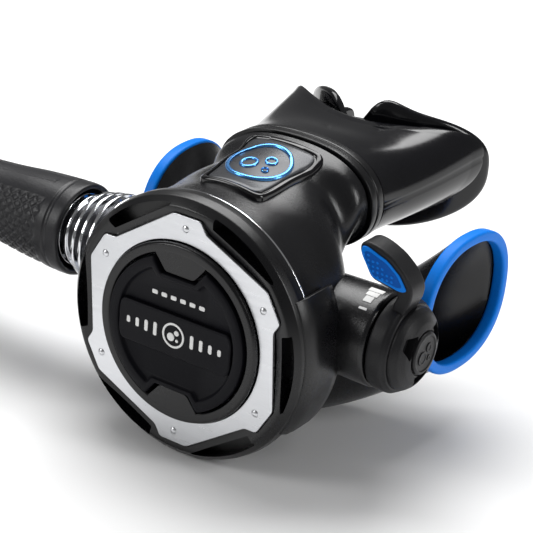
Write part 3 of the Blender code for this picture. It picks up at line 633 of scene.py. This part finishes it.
def front_cover():
    """The round cover: the plate's room, six leaf-shaped pockets, and a latch tab at its side."""
    wall = COVER_R - COVER_WALL
    cover = turned("cover",
                   [(COVER_FRONT - 1.0, 34.2), (COVER_FRONT + 1.0, COVER_R - 0.5), (6.4, COVER_R),
                    (COVER_BACK, COVER_R - 0.2), (COVER_BACK, wall), (7.4, wall), (7.4, 24.0),
                    (COVER_BACK - 0.6, 24.0), (COVER_BACK - 0.6, 22.4), (COVER_FRONT, 22.4),
                    (COVER_FRONT, 24.5), (COVER_FRONT, 29.0), (COVER_FRONT - 1.0, 33.4)],
                   COVER_BLACK, steps=160, edge=0.35)
    room = prism("plate_room", filleted(plate_outline(0.35), 0.9), -2, COVER_FRONT - 0.1,
                 COVER_BLACK, edge=0, body=None)
    pockets = []
    for k in range(PETALS):
        turn = 360 / PETALS * k
        leaf = [polar(NOTCH_R + 2.0, turn + 14), polar(LEAF_R, turn + 13.5)]
        leaf += arc(LEAF_R, turn + 16, turn + 50, 3) + [polar(PLATE_R + 1.9, turn + 51)]
        pockets.append(prism("pocket", filleted(leaf, 0.35), -3, 6.9, COVER_BLACK, edge=0,
                             body=None))
    cut(cover, [room] + pockets)
    bevel(cover, 0.28, 2)
    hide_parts("front_cover")
    tab_loops = []
    for y, out in ((5.0, 0.0), (7.0, 0.9), (10.0, 1.2), (17.0, 1.2), (20.0, 0.9), (20.5, 0.2)):
        outer = arc(COVER_R + out, 61, 123, 2)
        inner = arc(COVER_R - 0.95, 123, 61, 2)
        tab_loops.append([(x, y, z) for x, z in outer + inner])
    bevel(loft("latch_tab", tab_loops, COVER_BLACK, sharp=50), 0.3, 2, 50)


def trim_ring():
    """The chrome line between the cover and the case."""
    ring = turned("chrome_ring", [(9.3, 35.3), (9.4, 36.3), (10.1, 36.3), (10.3, 35.3),
                                  (10.3, 33.4), (9.3, 33.4)], CHROME, steps=200, edge=0.25)
    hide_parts("trim_ring")


# ---------------------------------------------------------------- case

# Sections of the case from the cover to the mouthpiece: y, centre height and half-sizes
CASE_STATIONS = [(CASE_FRONT, 0.0, DRUM_R, DRUM_R), (16.0, 0.5, 35.0, 34.8),
                 (24.0, 3.0, 33.5, 32.5), (32.0, 9.0, 30.5, 28.0), (40.0, 17.0, 23.0, 21.5),
                 (46.0, 26.1, 23.8, 13.4), (49.8, MOUTH_Z, 24.2, 14.4)]


def case_power(y):
    """The case's section is round at the front and squarer at the mouthpiece."""
    return 2.0 + 0.3 * max(0.0, min(1.0, (y - 40.0) / 10.0))


def case_loop(station, count=160):
    """The outline of the case at a station."""
    y, centre, a, b = station
    return [(x, y, centre + z) for x, z in squircle(a, b, case_power(y), count)]


SMOOTH_CASE = spline_rows(CASE_STATIONS, 6)


def case_top(x, y):
    """Height of the case's upper surface."""
    for near, far in zip(SMOOTH_CASE, SMOOTH_CASE[1:]):
        if near[0] <= y <= far[0]:
            t = (y - near[0]) / (far[0] - near[0])
            _, centre, a, b = [p + (q - p) * t for p, q in zip(near, far)]
            power = case_power(y)
            return centre + b * max(0.0, 1 - abs(x / a) ** power) ** (1 / power)
    return MOUTH_Z + CASE_STATIONS[-1][3]


def case():
    """The casing as one hollow skin, and the two bosses of its cross bore."""
    front = [(CASE_FRONT, 0.0, 33.2, 33.2), (CASE_FRONT, 0.0, 34.8, 34.8)]
    rear = [(49.95, MOUTH_Z, 23.8, 14.0), (50.0, MOUTH_Z, 21.0, 11.0),
            (COLLAR_Y, MOUTH_Z, 21.0, 11.0), (COLLAR_Y, MOUTH_Z, 19.0, 9.0)]
    inside = [(46.0, 25.6, 19.5, 10.2), (40.0, 17.6, 20.6, 18.8), (32.0, 9.2, 28.2, 25.6),
              (24.0, 3.0, 31.0, 30.0), (14.0, 0.0, 33.0, 33.0)]
    stations = front + [(10.7,) + SMOOTH_CASE[0][1:]] + SMOOTH_CASE[1:] + rear + inside
    shell = loft("case_shell", [case_loop(s) for s in stations], CASE_BLACK, ring=True, sharp=55)
    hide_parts("case_body")
    turned("boss_right", [(20.0, BOSS_R - 0.4), (44.8, BOSS_R), (BOSS_END, 12.4),
                          (BOSS_END, 9.0), (20.0, 9.0)], CASE_BLACK, "X", AXIS, 96, edge=0.5)
    turned("boss_left", [(-20.0, BOSS_R), (-37.4, BOSS_R), (-38.0, 12.4), (-38.0, 7.4),
                         (-20.0, 7.4)], CASE_BLACK, "X", AXIS, 96, edge=0.4)


def badge_outline(grow):
    """The badge from above, wider at the back."""
    corners = [(-9.4 - grow, 19.2 - grow), (9.4 + grow, 19.2 - grow), (12.0 + grow, 45.8 + grow),
               (-12.0 - grow, 45.8 + grow)]
    return filleted(corners, 3.0, parts=6)


def subdivided(outline, step=0.8):
    """Add points along an outline, so that it can follow a curved surface."""
    shape = []
    for k, here in enumerate(outline):
        there = outline[(k + 1) % len(outline)]
        parts = max(1, ceil(hypot(there[0] - here[0], there[1] - here[1]) / step))
        for j in range(parts):
            t = j / parts
            shape.append((here[0] + (there[0] - here[0]) * t, here[1] + (there[1] - here[1]) * t))
    return shape


def draped(name, outline, levels, material):
    """A patch over the case's top; levels are (scale, height) from its rim to its middle."""
    middle_x, middle_y = BADGE_MIDDLE
    shape = subdivided(outline)
    loops = []
    for scale, height in levels:
        loop = []
        for x, y in shape:
            px, py = middle_x + (x - middle_x) * scale, middle_y + (y - middle_y) * scale
            loop.append((px, py, case_top(px, py) + height))
        loops.append(loop)
    return loft(name, loops, material, sharp=50)


def band_on_case(name, outer, inner, centre, low, high, count):
    """A flat ring that follows the case's top."""
    mid = (outer + inner) / 2
    section = [(inner, low), (inner, high - 0.2), (mid, high), (outer, high - 0.2), (outer, low)]
    loops = []
    for radius, height in section:
        loop = []
        for i in range(count):
            x = centre[0] + radius * cos(2 * pi * i / count)
            y = centre[1] + radius * sin(2 * pi * i / count)
            loop.append((x, y, case_top(x, y) + height))
        loops.append(loop)
    return loft(name, loops, BLUE_METAL, ring=True, sharp=70)


def badge():
    """The top badge: a glossy frame, a grey panel, and a blue ring with bubbles in it."""
    frame_piece = draped("badge_frame", badge_outline(0.5),
                         ((1.0, -0.4), (1.0, 1.0), (0.985, 1.45), (0.95, 1.6), (0.90, 1.45),
                          (0.89, 1.0), (0.6, 1.0), (0.2, 1.0), (0.02, 1.0)), GLOSS_BLACK)
    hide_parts("top_badge")
    draped("badge_panel", badge_outline(-1.2),
           ((1.0, 0.9), (1.0, 1.25), (0.985, 1.38), (0.9, 1.4), (0.7, 1.4), (0.5, 1.4), (0.3, 1.4),
            (0.1, 1.4), (0.01, 1.4)), PANEL_GREY)
    ring = band_on_case("badge_band", 9.0, 8.0, (0.0, 33.0), BADGE_LIFT, 2.1, 96)
    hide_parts("badge_ring")
    for x, y, radius in ((-2.2, 31.2, 2.6), (2.6, 34.6, 1.8), (3.6, 30.2, 1.1)):
        band_on_case("badge_bubble", radius, radius * BAND_SCALE, (x, y), BADGE_LIFT, 1.9, 40)


# ---------------------------------------------------------------- adjuster

def knob_and_lever():
    """The adjuster's knob and the lever that stands on it, both on one body."""
    start = BOSS_END + 0.4
    knob = turned("knob", [(start, 12.0), (start + 0.5, KNOB_R + 0.2), (50.4, KNOB_R + 0.2),
                           (51.2, 12.2), (52.0, 11.9), (52.0, 4.5), (start, 4.5)],
                  KNOB_GREY, "X", AXIS, 128, edge=0.5, body="adjuster")
    arm = [(48.2, 6.0), (48.2, 15.0), (49.4, 17.8), (50.2, 19.9), (42.2, 21.6), (38.8, 28.6),
           (39.1, 31.0), (41.2, 32.0), (44.6, 31.3), (48.6, 29.3), (52.2, 26.0), (54.4, 21.8),
           (53.8, 18.0), (51.9, 14.6), (51.6, 6.0)]
    prism("lever_arm", filleted(arm, 1.6), AXIS_Y - LEVER_HALF, AXIS_Y + LEVER_HALF, KNOB_GREY,
          shear=tan(LEVER_LEAN), edge=0.8, body="adjuster")
    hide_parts("adjuster_knob")


def knob_cap():
    """The knob's domed cap with three openings, and the plain badge in its middle."""
    cap = turned("cap", [(51.8, 0), (51.8, 11.3), (52.9, 11.3), (54.3, 10.2), (55.6, 8.2),
                         (56.2, 6.3), (55.9, 6.1), (55.7, 5.9), (55.7, 0)],
                 KNOB_GREY, "X", AXIS, 96, edge=0.35, body="adjuster")
    openings = []
    for k in range(3):
        shape = []
        for radius, degrees in ((6.9, -30), (9.6, -9), (9.6, 9), (6.9, 30)):
            angle = radians(120 * k + 30 + degrees)
            shape.append((AXIS_Y + radius * cos(angle), AXIS_Z + radius * sin(angle)))
        openings.append(prism("opening", filleted(shape, 0.5), 53.6, 58, KNOB_GREY, "X", edge=0,
                              body=None))
    cut(cap, openings)
    bevel(cap, 0.2, 2)
    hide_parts("knob_cap")
    disc = turned("cap_badge", [(55.5, 0), (55.5, 5.75), (56.5, 5.75), (56.8, 5.3), (56.8, 4.9),
                                (56.5, 4.7), (56.5, 0)], KNOB_GREY, "X", AXIS, 64, edge=0.15,
                  body="adjuster")
    for y, z, radius in ((-1.3, -1.0, 1.9), (1.6, 1.2, 1.3), (2.0, -1.8, 0.8)):
        turned("cap_bubble", [(56.3, 0), (56.3, radius), (56.75, radius), (56.75, radius - 0.5),
                              (56.6, radius - 0.6), (56.6, 0)], KNOB_GREY, "X",
               (AXIS_Y + y, AXIS_Z + z), 32, edge=0.1, body="adjuster")
    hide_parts("knob_badge")


def lever_pad():
    """The blue pad on the front of the lever, with rows of dots."""
    front = AXIS_Y - LEVER_HALF
    pad = [(39.6, 28.3), (42.7, 22.4), (51.0, 20.7), (52.9, 21.3), (50.8, 25.2), (47.2, 28.4),
           (41.2, 30.8), (39.7, 30.5)]
    blue = prism("pad_rim", filleted(pad, 0.9), front - PAD_PROUD, front + 0.2, BLUE,
                 shear=tan(LEVER_LEAN), edge=0.35, body="adjuster")
    middle_x, middle_z = PAD_MIDDLE
    field = [(middle_x + (x - middle_x) * 0.83, middle_z + (z - middle_z) * 0.78) for x, z in pad]
    prism("pad_field", filleted(field, 0.8), front - FIELD_PROUD, front - 0.4, BLUE_DARK,
          shear=tan(LEVER_LEAN), edge=0.05, body="adjuster")
    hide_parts("lever_pad")
    for row in range(DOT_ROWS):
        z = 23.0 + DOT_ROW * row
        first, last = 43.6 - 0.5 * (z - 22.4), 50.2 - 1.3 * max(0.0, z - 24.2)
        count = int((last - first) / DOT_STEP)
        for k in range(count):
            x = first + DOT_SHIFT * (row % 2) + DOT_STEP * k
            y = front - FIELD_PROUD - tan(LEVER_LEAN) * (z - AXIS_Z)
            turned("pad_dot", [(y - 0.2, 0), (y - 0.16, 0.28), (y + 0.1, 0.46), (y + 0.1, 0)],
                   BLUE, centre=(x, z), steps=12, edge=0.05, body="adjuster")


def scale_marks():
    """White scale on the boss, in front of the lever: a wedge in steps and one dash."""
    for first, last, low, high in ((1, 8.5, 39.2, 43.4), (9.5, 17, 39.6, 43.0),
                                   (18, 27, 40.1, 42.5), (35, 38, 40.3, 42.6)):
        loops = []
        for radius in (BOSS_R - 0.2, BOSS_R + 0.12):
            loop = []
            for along, run in ((low, range(5)), (high, range(4, -1, -1))):
                for k in run:
                    angle = radians(90 + first + (last - first) * k / 4)
                    loop.append(around("X", AXIS, along, radius, angle))
            loops.append(loop)
        loft("scale_mark", loops, MARK_WHITE)


# ---------------------------------------------------------------- inlet

def inlet():
    """The chrome inlet barrel with its six fins, on a dark core."""
    fins = ((-56.3, 10.6), (-53.6, 10.9), (-49.4, 12.8), (-46.4, 13.5), (-43.4, 14.0),
            (-40.2, FIN_R))
    outline = [(-57.2, 5.2), (-57.2, 8.6)]
    for x, radius in fins:
        outline += [(x - 0.62, radius - 3.2), (x - 0.5, radius), (x + 0.5, radius),
                    (x + 0.62, radius - 3.2)]
    outline += [(-38.4, 11.0), (-38.4, 5.2)]
    piece = turned("finned_inlet", outline, CHROME, "X", AXIS, 128, edge=0.3)
    core = [(-56.8, 8.2), (-52.0, 8.5), (-46.0, 11.0), (-39.0, 11.8), (-39.0, 7.4), (-56.8, 7.4)]
    turned("fin_core", core, DARK_STEEL, "X", AXIS, 96, edge=0.1)
    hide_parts("inlet_barrel")


# ---------------------------------------------------------------- exhaust

def tee_sweep(s):
    """How far back the tee's centre line is at s, from 0 in its middle to 1 at its ends."""
    soft = 0.22
    return (hypot(s, soft) - soft) / (hypot(1, soft) - soft)


def tee_loop(s, shrink=0.0, count=96):
    """The tee's section at s, from -1 at the left mouth to 1 at the right."""
    middle_y = TEE_Y[0] + TEE_Y[1] * tee_sweep(s)
    middle_z = TEE_Z[0] + TEE_Z[1] * s * s
    half_y = TEE_DEEP[0] + TEE_DEEP[1] * s * s - shrink
    half_z = TEE_TALL[0] + TEE_TALL[1] * s * s - shrink
    loop = []
    for y, z in squircle(half_y, half_z, TEE_POWER, count):
        height = max(middle_z + z, BASE_Z + 0.02)
        loop.append((TEE_HALF * s + RIM_TILT * s * y, middle_y + y, height))
    return loop


def exhaust():
    """The exhaust tee, hollow from mouth to mouth, with a blue lip round each."""
    stations = [k / 30 for k in range(-30, 31)]
    loops = [tee_loop(s) for s in stations]
    loops += [tee_loop(s, TEE_WALL) for s in reversed(stations)]
    tee = loft("tee", loops, CASE_BLACK, ring=True, sharp=60)
    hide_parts("exhaust_tee")
    for side, node in ((1, "exhaust_rim_right"), (-1, "exhaust_rim_left")):
        section = filleted([(0.1, -0.7), (3.7, -0.7), (3.7, 2.2), (0.1, 2.2)], 0.9)
        loops = []
        for out, shrink in section:
            loops.append([(x + side * out, y, z) for x, y, z in tee_loop(side, shrink)])
        lip = loft("horn_lip", loops, BLUE, ring=True, sharp=70)
        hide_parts(node)


# ---------------------------------------------------------------- mouthpiece

def bowed(row, count=192):
    """A section of the mouthpiece: bent back and lifted at its sides, with a mould seam."""
    y, centre, a, b, power, bow, lift = row
    loop = []
    for x, z in squircle(a, b, power, count):
        inset = 0.35 if abs(z) < 0.001 else 0.0
        side = x - copysign(inset, x)
        height = centre + z + lift * (x / LIFT_HALF) ** 2
        loop.append((side, y + bow * (x / BOW_HALF) ** 2, height))
    return loop


def flange_loop(y, scale, count=192):
    """Outline of the gum flange: two raised ears with a notch between them."""
    loop = []
    for x, z in squircle(30.5, 18.0, 2.6, count):
        notch = 0.0
        if z > 0:
            notch = 9.0 * exp(-((x + 4.0) / 5.5) ** 2) - 2.2 * exp(-((x - 6.0) / 6.0) ** 2)
        px, pz = x * scale, 24.2 + (z - notch) * scale
        loop.append((px, y + FLANGE_BOW * (px / BOW_HALF) ** 2, pz))
    return loop


def mouthpiece():
    """One soft skin from the collar out to the shield's rim and back in through the bore, with
    the gum flange and its bite tabs behind. A row is y, centre height, half-sizes, power, bow
    and lift."""
    power = MOUTH_POWER
    outside = [(56.6, MOUTH_Z, 25.3, 14.6, power, 0.0, 0.0),
               (63.0, 25.8, 26.4, 14.2, power, 2.0, 0.6),
               (70.0, 25.1, 28.9, 13.9, 2.4, 7.5, 2.4), (77.0, 24.4, 31.2, 14.4, 2.5, 13.0, 4.3)]
    rows = [(50.4, MOUTH_Z, 21.3, 11.3, power, 0.0, 0.0),
            (50.4, MOUTH_Z, 23.3, 13.4, power, 0.0, 0.0),
            (56.3, MOUTH_Z, 23.3, 13.4, power, 0.0, 0.0),
            (56.35, MOUTH_Z, 24.8, 14.2, power, 0.0, 0.0)]
    rows += spline_rows(outside, 8)
    rows += [(78.6, 24.4, 31.9, 14.7, 2.5, 13.4, 4.5), (79.7, 24.4, 32.0, 14.6, 2.5, 13.5, 4.5),
             (80.3, 24.4, 31.4, 13.9, 2.5, 13.5, 4.5), (79.0, 24.7, 26.0, 12.4, 2.4, 10.0, 2.8),
             (76.5, 25.0, 19.0, 11.8, power, 3.0, 1.0), (82.0, 24.8, 17.8, 11.2, power, 4.0, 0.0),
             (89.6, 24.6, 17.5, 10.8, power, 5.0, 0.0), (90.2, 24.6, 16.6, 10.0, power, 5.0, 0.0),
             (89.6, 24.6, 15.0, 8.4, power, 5.0, 0.0), (78.0, 25.0, 15.8, 8.8, power, 2.0, 0.0),
             (66.0, 25.4, 17.0, 9.4, power, 0.0, 0.0),
             (60.0, MOUTH_Z, 21.3, 11.3, power, 0.0, 0.0)]
    shield = loft("mouthpiece_shield", [bowed(row) for row in rows], SILICONE, ring=True, sharp=50)
    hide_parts("mouthpiece")
    section = [(84.5, 0.53), (84.1, 0.75), (84.0, 0.96), (84.5, 0.995), (85.3, 1.0), (86.1, 0.995),
               (86.6, 0.96), (86.5, 0.75), (86.2, 0.53)]
    loft("gum_flange", [flange_loop(y, s) for y, s in section], SILICONE, ring=True, sharp=60)
    for side in (1, -1):
        tab = [(side * 15.6, 88.0), (side * 27.0, 97.5), (side * 27.0, 106.0),
               (side * 24.0, 108.0), (side * 15.6, 108.0)]
        prism("bite_tab", filleted(tab, 2.0), 22.4, 26.8, SILICONE, "Z", edge=1.2)
        wing = [(86.5, 17.2), (106.0, 18.2), (106.5, 30.0), (103.0, 32.0), (86.5, 31.4)]
        low, high = sorted((side * 15.4, side * 17.8))
        prism("bite_wing", filleted(wing, 2.4), low, high, SILICONE, "X", edge=0.9)


def band():
    """The band that clamps the mouthpiece, with a groove round its middle."""
    section = filleted([(50.5, 0.0), (50.5, 1.75), (52.9, 1.75), (53.3, 1.35), (53.7, 1.75),
                        (56.1, 1.75), (56.1, 0.0)], 0.35)
    loops = []
    for y, out in section:
        outline = squircle(23.6 + out, 13.5 + out, MOUTH_POWER, 144)
        loops.append([(x, y, MOUTH_Z + z) for x, z in outline])
    piece = loft("band", loops, COVER_BLACK, ring=True, sharp=50)
    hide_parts("mouthpiece_band")


# ---------------------------------------------------------------- inner pieces

def carried_over():
    """Materials for the CAD nodes that stay as they are, inside the casing."""
    finishes = {
        "purge_spring": STEEL, "cover_grille": DARK_STEEL, "diaphragm": CLEAR,
        "diaphragm_disc": WHITE, "valve_barrel": BRASS, "orifice_seat": CHROME,
        "seat_disc": HOSE_RUBBER, "poppet": WHITE, "poppet_spring": STEEL, "spring_pad": WHITE,
        "adjusting_screw": BRASS, "demand_lever": STEEL, "venturi_vane": WHITE,
        "exhaust_valve": CLEAR, "hose_swivel_nut": CHROME, "hose_ferrule_near": CHROME}
    for name, material in finishes.items():
        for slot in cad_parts[name].material_slots:
            slot.material = material


camera()
hose_parts()
studio()
purge_button()
purge_bezel()
face_plate()
front_cover()
trim_ring()
case()
badge()
knob_and_lever()
knob_cap()
lever_pad()
scale_marks()
inlet()
exhaust()
mouthpiece()
band()
carried_over()
